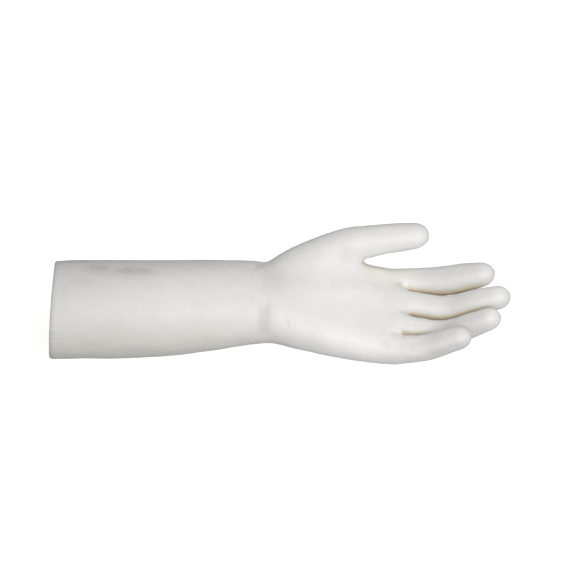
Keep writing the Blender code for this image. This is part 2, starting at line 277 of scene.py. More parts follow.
def limb_form(limb, s, angle):
    """Half size of a limb's section towards angle: 0 is the thumb side, 90 degrees the palm."""
    radius = np.interp(s, limb.s, limb.radius)
    cosine, sine = np.cos(angle), np.sin(angle)
    if limb.name == "thumb":
        wide, palm, back, power = 1.03, 0.98, 0.97, 2.1
    else:
        wide, palm, back, power = 0.95, 0.955, 0.95, 2.6
    high = np.where(sine > 0, palm, back)
    return radius / (
        (np.abs(cosine) / wide) ** power + (np.abs(sine) / high) ** power) ** (1 / power)


def cap_factor(limb, s, inset):
    """Shrinks the section to nothing at the end of the limb, over a rounded tip."""
    radius = np.interp(limb.total, limb.s, limb.radius)
    total = limb.total - inset
    begin = total - radius * TIP_ROUND
    share = np.clip((s - begin) / (total - begin), 0, 1)
    return np.sqrt(np.maximum(1 - share ** 2.2, 0))


# ------------------------------------------------------------------
# Field: distance to the hand's surface, from the wrist to the finger roots
# ------------------------------------------------------------------
# y, x: how far the palm reaches across the hand
PALM_END = np.array([
    (-56.0, 92.0), (-47.0, 99.0), (-40.0, 105.5), (-30.0, 110.6), (-18.0, 112.6),
    (-6.0, 113.6), (5.0, 112.6), (17.0, 111.4), (30.0, 107.0), (42.0, 100.0),
])


def round_cone(points, start, end):
    """Distance to the hull of two balls, each given as x, y, z, radius."""
    r1, r2 = start[3], end[3]
    axis = end[:3] - start[:3]
    square = axis @ axis
    taper = r1 - r2
    cone = square - taper * taper
    inverse = 1 / square
    offset = points - start[:3]
    y = offset @ axis
    z = y - square
    x2 = ((offset * square - y[:, None] * axis) ** 2).sum(1)
    y2, z2 = y * y * square, z * z * square
    limit = np.sign(taper) * taper * taper * x2
    past_end = np.sign(z) * cone * z2 > limit
    before_start = np.sign(y) * cone * y2 < limit
    return np.where(
        past_end, np.sqrt(x2 + z2) * inverse - r2,
        np.where(
            before_start, np.sqrt(x2 + y2) * inverse - r1,
            (np.sqrt(x2 * cone * inverse) + y * taper) * inverse - r1))


def cones(points, chain):
    return [round_cone(points, start, end) for start, end in zip(chain, chain[1:])]


def core_field(points):
    """Distance to the lofted sections alone."""
    centre_y, centre_z, half_width, half_depth, power = section(points[:, 0])
    across = np.maximum(np.abs(points[:, 1] - centre_y) / half_width, 1e-4)
    deep = np.maximum(np.abs(points[:, 2] - centre_z) / half_depth, 1e-4)
    total = across ** power + deep ** power
    slope_y = total ** (1 / power - 1) * across ** (power - 1) / half_width
    slope_z = total ** (1 / power - 1) * deep ** (power - 1) / half_depth
    return (total ** (1 / power) - 1) / np.sqrt(slope_y * slope_y + slope_z * slope_z)


def root_field(limb, points):
    """A finger's first straight stretch, run back into the palm."""
    base, way, _ = limb.at(0.0)
    side, up = limb.axes(way)
    offset = points - base
    along = offset @ way
    across, high = offset @ side, offset @ up
    size = limb_form(limb, np.clip(along, -10, 24), np.arctan2(high, across))
    size = size * (1 - 0.42 * smooth((-2.0 - along) / 24.0))
    gap = np.sqrt(across * across + high * high) - size
    back = np.maximum(-24.0 - along, 0)
    return np.sqrt(np.maximum(gap, 0) ** 2 + back ** 2) + np.minimum(gap, 0)


def field(points):
    x, y = points[:, 0], points[:, 1]
    over = x - np.interp(y, PALM_END[:, 0], PALM_END[:, 1])
    body = -smooth_min(-core_field(points), -over, 9.0)
    body = smooth_min(body, np.min(cones(points, HYPOTHENAR), axis=0), 10.0)
    body = smooth_min(body, np.min(cones(points, PALM_PAD), axis=0), 12.0)
    for chain, blend in ((INDEX_PAD, 7.0), (WEB, 5.0)):
        for cone in cones(points, chain):
            body = smooth_min(body, cone, blend)
    roots = np.min([root_field(LIMBS[name], points) for name in FINGERS], axis=0)
    blend = np.interp(y, [-52.0, -40.0, 30.0, 40.0], [5.0, 10.0, 10.0, 7.0])
    body = smooth_min(body, roots, blend)
    mound = np.full(len(points), FAR)
    for cone in cones(points, THENAR_LINE):
        mound = smooth_min(mound, cone, 0.6)
    blend = np.interp(
        x, [2.0, 20.0, 45.0, 66.0, 78.0, 90.0], [5.0, 15.0, 22.0, 20.0, 9.0, 4.0])
    return smooth_min(body, mound, blend)


def gradient(points):
    reach = 0.12
    slope = np.empty_like(points)
    for k in range(3):
        step = np.zeros(3)
        step[k] = reach
        slope[:, k] = field(points + step) - field(points - step)
    return slope / (2 * reach)


def onto_surface(points, inset, rounds):
    """Moves points to where the field is -inset."""
    for _ in range(rounds):
        slope = gradient(points)
        size = np.maximum((slope * slope).sum(1), 0.05)
        move = (field(points) + inset) / size
        points = points - np.clip(move, -1.5, 1.5)[:, None] * slope
    return points


# ------------------------------------------------------------------
# Mesh helpers
# ------------------------------------------------------------------
def mesh_edges(faces):
    pairs = np.array([(face[k - 1], face[k]) for face in faces for k in range(len(face))])
    return np.unique(np.sort(pairs, axis=1), axis=0)


def edge_counts(edges, count):
    return np.bincount(edges.ravel(), minlength=count).astype(float)


def neighbour_sum(points, edges):
    total = np.zeros_like(points)
    starts, ends = edges[:, 0], edges[:, 1]
    for k in range(3):
        total[:, k] = (
            np.bincount(starts, points[ends, k], len(points))
            + np.bincount(ends, points[starts, k], len(points)))
    return total


def to_neighbours(points, edges, degree):
    """The move from each point to the mean of its neighbours."""
    return neighbour_sum(points, edges) / np.maximum(degree, 1)[:, None] - points


def moving_edges(faces, share):
    """Edges that touch a point with a share, their counts, and the shares as a column."""
    edges = mesh_edges(faces)
    edges = edges[(share[edges] > 0).any(axis=1)]
    degree = edge_counts(edges, len(share))
    return edges, degree, np.where(degree > 2, share, 0.0)[:, None]


def border_edges(faces):
    """The edges that only one face has, each in that face's direction."""
    seen = {}
    for face in faces:
        for a, b in zip(face, face[1:] + face[:1]):
            if (b, a) in seen:
                del seen[b, a]
            else:
                seen[a, b] = True
    return list(seen)


def boundary_loops(faces):
    """The border edges as closed chains."""
    following = dict(border_edges(faces))
    loops = []
    while following:
        start = next(iter(following))
        loop = [start]
        after = following.pop(start)
        while after != start:
            loop.append(after)
            after = following.pop(after)
        loops.append(loop)
    return loops


# ------------------------------------------------------------------
# Hand: the field as welded quads, trimmed at the arm and every limb root
# ------------------------------------------------------------------
ARM_CUT, WRIST_CUT = -26.0, 23.0
GRID_LOW = np.array([ARM_CUT - 4.0, -60.0, -34.0])
GRID_HIGH = np.array([130.0, 70.0, 36.0])
COARSE = 3  # voxels to a step of the first pass
CUT_REACH = 4.0  # faces this near a plane may be cut
ROOT_HALF_WIDTH = 11.64  # how far a finger's cut reaches to each side


def sampled_field(voxel, inset):
    """Field values on a grid: a coarse pass first, and exact values only near the surface."""
    counts = np.ceil((GRID_HIGH - GRID_LOW) / voxel).astype(int) + 1
    wide = [
        GRID_LOW[k] + COARSE * voxel * np.arange(math.ceil((counts[k] - 1) / COARSE) + 1)
        for k in range(3)]
    yy, zz = np.meshgrid(wide[1], wide[2], indexing="ij")
    values = np.stack([
        (field(np.stack([np.full(yy.size, x), yy.ravel(), zz.ravel()], 1)) + inset)
        .reshape(yy.shape) for x in wide[0]])
    for k in range(3):
        place = np.arange(counts[k]) / COARSE
        before = np.minimum(place.astype(int), len(wide[k]) - 2)
        share = (place - before).reshape([-1 if i == k else 1 for i in range(3)])
        values = (
            np.take(values, before, axis=k) * (1 - share)
            + np.take(values, before + 1, axis=k) * share)
    near = np.argwhere(np.abs(values) < 1.8 * COARSE * voxel)
    batch = 60000
    for start in range(0, len(near), batch):
        rows = near[start:start + batch]
        exact = field(GRID_LOW + voxel * rows) + inset
        values[rows[:, 0], rows[:, 1], rows[:, 2]] = exact
    return values.astype(np.float32)


def field_quads(voxel, inset):
    """Even quads on the field's surface, facing out."""
    grid = openvdb.FloatGrid(background=5.0)
    grid.copyFromArray(sampled_field(voxel, inset))
    points, quads = grid.convertToQuads(isovalue=0.0)
    points = np.asarray(points, float) * voxel + GRID_LOW
    quads = np.asarray(quads, np.int64)
    points = onto_surface(points, inset, 2)
    edges = mesh_edges(quads.tolist())
    degree = edge_counts(edges, len(points))
    for _ in range(3):
        total = neighbour_sum(points, edges)
        points = points * 0.4 + 0.6 * total / np.maximum(degree, 1)[:, None]
        points = onto_surface(points, inset, 1)
    points = onto_surface(points, inset, 1)
    normals = np.cross(
        points[quads[:, 2]] - points[quads[:, 0]], points[quads[:, 3]] - points[quads[:, 1]])
    facing = (normals * gradient(points[quads].mean(1))).sum(1)
    if np.median(facing) < 0:
        quads = quads[:, ::-1]
    return points, quads


def limb_plane(limb):
    """A plane across a limb's root, and a test for the places it cuts."""
    centre, way, radius = limb.at(limb.cuts[0])
    side, up = limb.axes(way)
    thumb = limb.name == "thumb"
    reach = radius * 1.25 if thumb else math.inf
    width = math.inf if thumb else ROOT_HALF_WIDTH

    def test(place):
        offset = np.array(place) - centre
        across = offset @ side
        return (
            abs(across) < width and math.hypot(across, offset @ up) < reach
            and offset @ way > -8)

    return tuple(centre), tuple(way), test, True


def plane_offset(place, centre, way):
    return (
        (place.x - centre[0]) * way[0] + (place.y - centre[1]) * way[1]
        + (place.z - centre[2]) * way[2])


def trim(bm):
    """Cuts along every plane, then drops what lies beyond all but the wrist's."""
    # centre, heading, test for the places it cuts, whether it drops what lies beyond
    planes = [
        ((ARM_CUT, 0, 0), (-1.0, 0, 0), lambda place: True, True),
        ((WRIST_CUT, 0, 0), (1.0, 0, 0), lambda place: place.x < 40, False),
    ]
    planes += [limb_plane(limb) for limb in LIMBS.values()]
    for centre, way, test, _ in planes:
        faces = []
        for face in bm.faces:
            middle = face.calc_center_median()
            if abs(plane_offset(middle, centre, way)) < CUT_REACH and test(middle):
                faces.append(face)
        geom = set(faces)
        for face in faces:
            geom.update(face.edges)
            geom.update(face.verts)
        bmesh.ops.bisect_plane(bm, geom=list(geom), dist=1e-4, plane_co=centre, plane_no=way)
    doomed = [
        vert for vert in bm.verts
        if any(drops and plane_offset(vert.co, centre, way) > 1e-3 and test(vert.co)
               for centre, way, test, drops in planes)]
    bmesh.ops.delete(bm, geom=doomed, context="VERTS")
    loose = [vert for vert in bm.verts if not vert.link_faces]
    bmesh.ops.delete(bm, geom=loose, context="VERTS")


def hand_surface(voxel, inset):
    points, quads = field_quads(voxel, inset)
    mesh = bpy.data.meshes.new("hand_surface")
    mesh.from_pydata(points.tolist(), [], quads.tolist())
    bm = bmesh.new()
    bm.from_mesh(mesh)
    bpy.data.meshes.remove(mesh)
    trim(bm)
    bm.verts.index_update()
    points = np.array([vert.co[:] for vert in bm.verts])
    faces = [[vert.index for vert in face.verts] for face in bm.faces]
    bm.free()
    return points, faces


# ------------------------------------------------------------------
# Surface: the hand with its arm and limbs grown on
# ------------------------------------------------------------------
# The rim's place, its lean up the view and towards the camera, and the depth it leans about
RIM_X, RIM_SLANT, RIM_BOW, RIM_DEPTH = -174.8, 0.06, -0.045, 14.3
BEAD = 4.2  # length of the turned edge


def even_angles(angle):
    """The same turn as angle in even steps."""
    count = len(angle)
    turn = np.sign(angle[-1] - angle[0])
    even = angle[0] + turn * np.arange(count) * 2 * math.pi / count
    return even + np.mean(angle - even)


class Surface:
    """The whole outer surface as one welded mesh, with a label for each face."""

    def __init__(self, voxel, step, inset):
        points, faces = hand_surface(voxel, inset)
        self.inset = inset
        self.points = points.tolist()
        self.faces = faces
        self.labels = [
            "wrist" if np.mean([points[i][0] for i in face]) < WRIST_CUT else "palm"
            for face in faces]
        for loop in boundary_loops(faces):
            centre = points[loop].mean(0)
            if centre[0] < ARM_CUT + 1:
                self.add_arm(loop, step)
                continue
            nearest = min(
                LIMBS.values(),
                key=lambda limb: np.linalg.norm(limb.at(limb.cuts[0])[0] - centre))
            self.add_limb(nearest, loop, step)
        self.points = np.array(self.points)

    def join(self, before, ring, label):
        """Adds a ring of points and the quads back to the ring before."""
        first = len(self.points)
        self.points.extend(ring.tolist())
        count = len(before)
        after = list(range(first, first + count))
        for k in range(count):
            k2 = (k + 1) % count
            self.faces.append([before[k2], before[k], after[k], after[k2]])
            self.labels.append(label)
        return after

    def oval(self, x):
        centre_y, centre_z, half_width, half_depth, _ = section(x)
        return centre_y, centre_z, half_width - self.inset, half_depth - self.inset

    def add_arm(self, loop, step):
        """Rings from the hand back to the cuff, on the same oval sections."""
        points = np.array([self.points[i] for i in loop])
        centre_y, centre_z, half_width, half_depth = self.oval(points[:, 0])
        across = (points[:, 1] - centre_y) / half_width
        deep = (points[:, 2] - centre_z) / half_depth
        angle = np.unwrap(np.arctan2(deep, across))
        size = np.sqrt(across ** 2 + deep ** 2)
        even = even_angles(angle)
        end = RIM_X + BEAD + 0.05
        length = ARM_CUT - end
        count = int(round(length / (step * 1.45)))
        before = loop
        for k in range(1, count + 1):
            x = ARM_CUT - length * k / count
            share = smooth(length * k / count / 12.0)
            turn = angle * (1 - share) + even * share
            scale = size * (1 - share) + share
            centre_y, centre_z, half_width, half_depth = self.oval(x)
            y = centre_y + half_width * scale * np.cos(turn)
            z = centre_z + half_depth * scale * np.sin(turn)
            # the rings lean to the rim's own slant as they come up to it
            lean = 1 - smooth((x - end) / 70.0)
            depth = z * math.cos(TILT) - y * math.sin(TILT) - RIM_DEPTH
            slant = RIM_SLANT * view_height(y, z) + RIM_BOW * depth
            before = self.join(before, np.stack([x + lean * slant, y, z], 1), "gauntlet")
        self.rim = before

    def limb_stops(self, limb, step):
        """Distances along a limb for its rings, the root first; the tip's rings close up."""
        tip = limb.total - self.inset
        radius = np.interp(tip, limb.s, limb.radius)
        cap = tip - radius * TIP_ROUND
        stops = [limb.cuts[0]]
        for begin, finish in zip(limb.cuts, limb.cuts[1:] + (cap,)):
            count = max(2, int(round((finish - begin) / step)))
            stops += list(begin + (finish - begin) * np.arange(1, count + 1) / count)
        count = max(6, int(round(radius * 1.75 / step)))
        turns = np.linspace(0, math.pi / 2, count + 1)[1:-1] * 0.995
        return stops + list(cap + (tip - cap) * np.sin(turns))

    def add_limb(self, limb, loop, step):
        """Rings from a limb's root to its tip, closed with a fan."""
        start = limb.cuts[0]
        centre, way, _ = limb.at(start)
        side, up = limb.axes(way)
        points = np.array([self.points[i] for i in loop]) - centre
        across, high = points @ side, points @ up
        angle = np.unwrap(np.arctan2(high, across))
        even = even_angles(angle)
        ratio = np.hypot(across, high) / (limb_form(limb, start, angle) - self.inset)
        before = loop
        for s in self.limb_stops(limb, step)[1:]:
            point, way, _ = limb.at(s)
            side, up = limb.axes(way)
            share = smooth((s - start) / 13.0)
            turn = angle * (1 - share) + even * share
            size = (limb_form(limb, s, turn) - self.inset) * (ratio * (1 - share) + share)
            size = size * cap_factor(limb, s, self.inset)
            ring = point + np.outer(size * np.cos(turn), side)
            ring = ring + np.outer(size * np.sin(turn), up)
            label = limb.labels[sum(s > cut + 1e-6 for cut in limb.cuts[1:])]
            before = self.join(before, ring, label)
        point, _, _ = limb.at(limb.total - self.inset)
        pole = len(self.points)
        self.points.append(point.tolist())
        for k in range(len(before)):
            self.faces.append([before[(k + 1) % len(before)], before[k], pole])
            self.labels.append(limb.labels[-1])


# ------------------------------------------------------------------
# Creases, relief and normals of the whole surface
# ------------------------------------------------------------------
# Paths are in (x, height up the view).
INDEX_ROOT_LINE = [(108.0, 17.8), (111.0, 15.6), (115.0, 12.8)]
PALM_NICK = [(17.0, -12.0), (18.4, -22.5)]

# path, depth, width, length of the fade at each end, share of the depth kept on the back
CREASES = [
    ([(0.6, 37.0), (-0.4, 18.0), (-1.4, 0.0), (-2.0, -20.0), (-2.4, -38.0)],
     0.75, 5.4, 10.0, 0.3),
    ([(0.5, 6.0), (-0.8, -10.0), (-1.6, -22.0), (-1.2, -36.0)], 0.95, 3.2, 12.0, 0.4),
    ([(2.0, 35.0), (-5.0, 30.5), (-14.0, 26.0)], 0.70, 2.6, 7.0, 0.3),
    (PALM_NICK, 0.30, 1.4, 4.0, 0.0),
    ([(71.0, 50.0), (66.0, 40.0), (61.0, 31.0)], 0.55, 3.4, 8.0, 0.0),
    ([(95.0, -30.0), (99.0, -35.5), (102.0, -41.0)], 0.40, 2.8, 5.0, 0.0),
    (INDEX_ROOT_LINE, 0.45, 1.3, 3.0, 0.0),
    ([(107.0, -5.2), (112.0, -8.6), (117.0, -12.2)], 0.35, 1.4, 3.0, 0.0),
    ([(99.5, -23.4), (105.0, -25.8), (111.5, -27.4)], 0.45, 1.4, 3.5, 0.0),
]
# painted shade: dark lines where the fingers begin, then shaded folds and dents at the wrist,
# thumb, little finger and palm
# path, strength, width, length of the fade at each end
ROOT_SHADE_LINES = [
    (INDEX_ROOT_LINE, 0.30, 0.9, 5.0),
    ([(107.0, -5.2), (112.0, -8.6), (116.5, -11.9)], 0.25, 0.9, 5.0),
    ([(99.5, -23.4), (105.0, -25.8), (112.0, -27.3)], 0.35, 0.9, 6.0),
]
FOLD_SHADE_PATHS = [
    ([(1.0, 4.0), (-1.8, -8.0), (-2.6, -20.0), (-2.2, -36.0)], 0.62, 4.2, 16.0),
    ([(1.5, 34.0), (-4.0, 31.0), (-12.0, 28.0)], 0.60, 3.6, 8.0),
    ([(0.0, 33.0), (-1.6, 20.0), (-1.8, 4.0)], 0.22, 3.8, 12.0),
    ([(6.0, 30.0), (9.0, 16.0), (8.0, 2.0)], 0.26, 9.0, 12.0),
    ([(72.0, 50.0), (67.0, 41.0), (61.0, 31.0)], 0.30, 5.0, 9.0),
    ([(94.0, -29.0), (98.0, -35.0), (101.0, -41.0)], 0.28, 3.6, 6.0),
    ([(118.0, -33.0), (121.0, -38.0), (122.0, -43.0)], 0.32, 4.2, 6.0),
    (PALM_NICK, 0.40, 1.7, 4.0),
]


def groove(points, path, depth, width, taper):
    """Depth of a soft crease along a path seen in the view."""
    seen = np.stack([points[:, 0], view_height(points[:, 1], points[:, 2])], 1)
    nearest = np.full(len(points), FAR)
    along = np.zeros(len(points))
    run = 0.0
    path = np.asarray(path, float)
    total = np.linalg.norm(np.diff(path, axis=0), axis=1).sum()
    for start, end in zip(path, path[1:]):
        leg = end - start
        length = np.linalg.norm(leg)
        share = np.clip(((seen - start) @ leg) / (length * length), 0, 1)
        gap = np.linalg.norm(seen - start - share[:, None] * leg, axis=1)
        closer = gap < nearest
        nearest = np.where(closer, gap, nearest)
        along = np.where(closer, run + share * length, along)
        run += length
    fade = smooth(along / taper) * smooth((total - along) / taper)
    return depth * np.exp(-((nearest / width) ** 2)) * fade


def palm_side(points):
    """1 on the palm side, fading to 0 on the back."""
    return smooth((points[:, 2] - section(points[:, 0])[1] + 2.0) / 10.0)


def creases(points):
    """Creases and soft dents of the hand, as an inward move."""
    face = palm_side(points)
    return sum(
        groove(points, path, depth, width, taper) * (back + (1 - back) * face)
        for path, depth, width, taper, back in CREASES)


def painted_crease_shade(points, normals):
    """Painted shade: dark lines where the fingers begin, and shaded folds and dents, only on
    faces turned towards the camera.
    """
    seen = smooth((normals @ TOWARD + 0.02) / 0.26)
    line, fold_shade = (
        np.max([groove(points, *row) for row in table], axis=0) * seen
        for table in (ROOT_SHADE_LINES, FOLD_SHADE_PATHS))
    return {"line": line, "fold_shade": fold_shade}


def waves(points, seed, size, stretch=(1.0, 1.0, 1.0)):
    """A smooth random field near -1..1: plane waves of about one length in all directions."""
    count, spread = 26, 0.35
    rng = np.random.default_rng(seed)
    heading = rng.normal(size=(count, 3))
    heading /= np.linalg.norm(heading, axis=1)[:, None]
    lengths = size * np.exp(rng.normal(0, spread, count))
    rates = heading * (2 * math.pi / lengths)[:, None] / np.asarray(stretch, float)
    phase = rng.uniform(0, 2 * math.pi, count)
    total = np.zeros(len(points))
    for rate, start in zip(rates, phase):
        total += np.sin(points @ rate + start)
    return total / math.sqrt(count / 2.0) * 0.6


def relief(points):
    """How far the taut skin stands off its plain form."""
    x, y, z = points.T
    sleeve = 1 - smooth((x + 40.0) / 50.0)
    hand = smooth((x - 10.0) / 40.0)
    edge = smooth((x - (RIM_X + BEAD)) / 9.0)
    near_wrist = np.exp(-(((x + 24.0) / 26.0) ** 2))
    plain = (1.0, 1.0, 1.0)
    # height, where it acts, seed, wave length, stretch along x, y, z
    ripples = (
        (0.42, sleeve, 11, 46.0, (1.7, 1.0, 1.0)),
        (0.16, sleeve, 12, 19.0, (1.5, 1.0, 1.0)),
        (0.13, near_wrist, 13, 9.0, (0.55, 1.9, 1.9)),
        (0.05, 0.5 + 0.5 * hand, 14, 8.5, plain),
        (0.022, 1.0, 15, 3.6, plain),
        (0.10, hand, 16, 22.0, plain),
    )
    move = sum(
        height * where * waves(points, seed, size, stretch)
        for height, where, seed, size, stretch in ripples)
    dent = np.exp(-((x + 139.0) / 13.0) ** 2 - ((view_height(y, z) - 26.0) / 6.0) ** 2)
    return (move - 0.35 * (dent * palm_side(points))) * edge


class Flat:
    """A Surface's faces as flat arrays, for fast normals."""

    def __init__(self, surface):
        counts = np.array([len(face) for face in surface.faces])
        self.corners = np.array([v for face in surface.faces for v in face])
        self.after = np.array([v for face in surface.faces for v in face[1:] + face[:1]])
        self.owner = np.repeat(np.arange(len(counts)), counts)
        self.faces = len(counts)

    def normals(self, points):
        cross = np.cross(points[self.corners], points[self.after])
        face = np.stack([np.bincount(self.owner, cross[:, k], self.faces) for k in range(3)], 1)
        spread = face[self.owner]
        return unit_rows(np.stack(
            [np.bincount(self.corners, spread[:, k], len(points)) for k in range(3)], 1))


def fair(surface, rounds):
    """Eases the joins where the arm and the limbs leave the hand, and nothing else."""
    points = surface.points
    share = 0.9 * smooth(1 - np.abs(points[:, 0] - ARM_CUT) / 9.0)
    for name, limb in LIMBS.items():
        centre, way, radius = limb.at(limb.cuts[0])
        offset = points - centre
        along = offset @ way
        aside = np.linalg.norm(offset - np.outer(along, way), axis=1)
        reach = 9.0 if name == "thumb" else 11.0
        near = 0.9 * smooth(1 - np.abs(along) / reach)
        share = np.maximum(share, near * smooth((radius * 1.9 - aside) / 5.0))
    edges, degree, share = moving_edges(surface.faces, share)
    # one step in, one almost as far out, so that the shape does not shrink; then a few in
    for amount in [0.55, -0.565] * rounds + [0.4] * 4:
        points = points + amount * share * to_neighbours(points, edges, degree)
    surface.points = points


def ease(surface, step):
    """Evens the taut palm between its mounds, leaving the outline and the gaps alone."""
    points = surface.points
    normals = Flat(surface).normals(points)
    end = np.interp(
        points[:, 1], [-50.0, -40.0, 20.0, 34.0, 42.0], [116.0, 110.0, 110.0, 86.0, 78.0])
    share = (
        smooth((points[:, 0] - 8.0) / 16.0) * smooth((end - points[:, 0]) / 14.0)
        * smooth((normals @ TOWARD - 0.30) / 0.35))
    edges, degree, share = moving_edges(surface.faces, share)
    amount = 0.55
    for _ in range(int(60.0 / (amount * step * step))):
        points = points + amount * share * to_neighbours(points, edges, degree)
    surface.points = points


def finished(voxel, step, inset):
    """A Surface this far inside the skin's outer face, with its relief and normals."""
    surface = Surface(voxel, step, inset)
    fair(surface, 30)
    ease(surface, step)
    flat = Flat(surface)
    plain = flat.normals(surface.points)
    if (plain * (surface.points - surface.points.mean(0))).sum() < 0:
        raise RuntimeError("the surface is inside out")
    outer = surface.points + plain * inset
    surface.points = surface.points + (relief(outer) - creases(outer))[:, None] * plain
    surface.normals = flat.normals(surface.points)
    return surface


# ------------------------------------------------------------------
# Pieces: closed shells cut from the surface
# ------------------------------------------------------------------
def mesh_piece(name, points, faces, corner_normals, attributes, material):
    """points in row-frame metres; corner_normals one for each face corner."""
    mesh = bpy.data.meshes.new(name)
    mesh.from_pydata(points.tolist(), [], faces)
    mesh.polygons.foreach_set("use_smooth", np.ones(len(faces), bool))
    for key, values in attributes.items():
        values = np.asarray(values, np.float32)
        is_vector = values.ndim == 2
        kind = "FLOAT_VECTOR" if is_vector else "FLOAT"
        attribute = mesh.attributes.new(key, kind, "POINT")
        attribute.data.foreach_set("vector" if is_vector else "value", values.ravel())
    mesh.update()
    mesh.normals_split_custom_set(corner_normals.tolist())
    mesh.materials.append(material)
    piece = bpy.data.objects.new(name, mesh)
    bpy.context.scene.collection.objects.link(piece)
    return piece


def shell_piece(name, surface, label, thickness, material, extra):
    """A closed shell: the outer sheet, its inner side and the thin rims between them."""
    picked = [face for face, found in zip(surface.faces, surface.labels) if found == label]
    used = sorted({v for face in picked for v in face})
    index = {v: k for k, v in enumerate(used)}
    count = len(used)
    outer = [[index[v] for v in face] for face in picked]
    inner = [[v + count for v in reversed(face)] for face in outer]
    open_edges = border_edges(outer)
    rims = [[b, a, a + count, b + count] for a, b in open_edges]
    top, normal = surface.points[used], surface.normals[used]
    points = np.concatenate([top, top - thickness * normal])
    both = np.concatenate([normal, -normal])
    corner_normals = both[np.array([v for face in outer + inner for v in face])]
    if rims:
        quad = points[np.array(rims)]
        flat = unit_rows(np.cross(quad[:, 2] - quad[:, 0], quad[:, 3] - quad[:, 1]))
        corner_normals = np.concatenate([corner_normals, np.repeat(flat, 4, axis=0)])
    attributes = {"rest": put(np.concatenate([top, top]))}
    for key, values in extra.items():
        attributes[key] = np.concatenate([values[used], values[used]])
    faces = outer + inner + rims
    piece = mesh_piece(name, put(points), faces, corner_normals, attributes, material)
    border = sorted({v for edge in open_edges for v in edge})
    return piece, points[border + [v + count for v in border]]


def bend(piece, border, joint, way, reach):
    """Works out how far a piece reaches about one joint between its own ends, then only bakes
    the piece's placement into its mesh; nothing is bent here.
    """
    pivot = hinge(joint)
    margin = 0.05
    ends = (border - pivot) @ way
    low = max([end for end in ends if end < 0], default=-1e3) + margin
    high = min([end for end in ends if end > 0], default=1e3) - margin
    low, high = max(low, -reach), min(high, reach)
    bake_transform(piece)


# piece: joint, heading of the bend, half length of the bend
BENDS = {"wrist": ("wrist_flex", np.array([1.0, 0, 0]), 20.0)}
# piece: the body it stands for
STANDS = {"gauntlet": "gauntlet", "wrist": "gauntlet", "palm": "palm"}
for name, limb in LIMBS.items():
    if name == "thumb":
        joints, first_place = ("base", "tip"), 0.0
    else:
        joints, first_place = ("knuckle", "middle", "end"), KNUCKLE_PLACE
    places = (first_place, *limb.joints)
    for label, joint, place, reach in zip(limb.labels, joints, places, limb.zone):
        BENDS[label] = (f"{name}_{joint}_flex", limb.at(place)[1], reach)
        STANDS[label] = label if name == "thumb" else label.replace("_base", "_proximal")


def dress(surface, thickness, material, kind, layer, extra):
    """Every piece of one layer, standing for that layer's solids; only the pieces that do not
    bend are put on their own bodies.
    """
    for label, body in STANDS.items():
        name = f"{label}_{kind}"
        piece, border = shell_piece(name, surface, label, thickness, material, extra)
        if label in BENDS:
            bend(piece, border, *BENDS[label])
        else:
            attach(piece, body)
        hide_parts(body + "_" + layer)


# The turned edge's section: distance out from the skin, distance past the skin's end
BEAD_PROFILE = (
    (0.0, 0.0), (0.01, 0.5), (0.0, 1.0), (-0.03, 1.6), (-0.10, 2.2), (-0.24, 2.8),
    (-0.44, 3.35), (-0.70, 3.8), (-1.02, 4.1), (-1.38, 4.2), (-1.78, 4.06), (-2.12, 3.7),
    (-2.34, 3.15), (-2.42, 2.5), (-2.42, 1.7), (-2.38, 0.9), (-2.33, 0.3), (-2.30, 0.0),
    (-1.15, 0.0),
)


def cuff_bead(surface, material):
    """The turned edge: a closed ring grown from the skin's last row, flush where they meet."""
    base, normal = surface.points[surface.rim], surface.normals[surface.rim]
    out = norm(np.array([-1.0, 0.0, 0.0]) + RIM_SLANT * UPWARD + RIM_BOW * TOWARD)
    radial = normal - np.outer(normal @ out, out)
    radial /= np.linalg.norm(radial, axis=1)[:, None]
    angle = np.arctan2(base[:, 2] - base[:, 2].mean(), base[:, 1] - base[:, 1].mean())
    wobble = (
        0.10 * np.sin(3 * angle + 0.7) + 0.05 * np.sin(7 * angle + 2.1)
        + 0.03 * np.sin(13 * angle + 4.0))
    rings = []
    for rise, past in BEAD_PROFILE:
        share = min(past / 3.0, 1.0)
        rings.append(
            base + radial * (rise + 0.5 * wobble * share)[:, None]
            + out * (past + wobble * share * 0.8)[:, None])
    points = np.concatenate(rings)
    around, rows = len(base), len(BEAD_PROFILE)
    faces, is_flat = [], []
    for k in range(rows):
        k2 = (k + 1) % rows
        for i in range(around):
            i2 = (i + 1) % around
            faces.append(
                [k * around + i, k * around + i2, k2 * around + i2, k2 * around + i])
            is_flat.append(k >= rows - 2)  # the flat back end, against the skin
    quad = points[np.array(faces)]
    cross = np.cross(quad[:, 2] - quad[:, 0], quad[:, 3] - quad[:, 1])
    if cross[0] @ radial[0] < 0:
        faces = [face[::-1] for face in faces]
        cross = -cross
    corners = np.array(faces)
    is_flat = np.array(is_flat)
    rounded = np.zeros_like(points)
    for k in range(4):
        np.add.at(rounded, corners[~is_flat, k], cross[~is_flat])
    rounded = unit_rows(rounded)
    rounded[:around] = normal
    corner_normals = rounded[corners]
    corner_normals[is_flat] = unit_rows(cross)[is_flat][:, None]
    piece = mesh_piece(
        "cuff_edge", put(points), faces, corner_normals.reshape(-1, 3),
        {"rest": put(points)}, material)
    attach(piece, "gauntlet")
    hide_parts("cuff_bead")


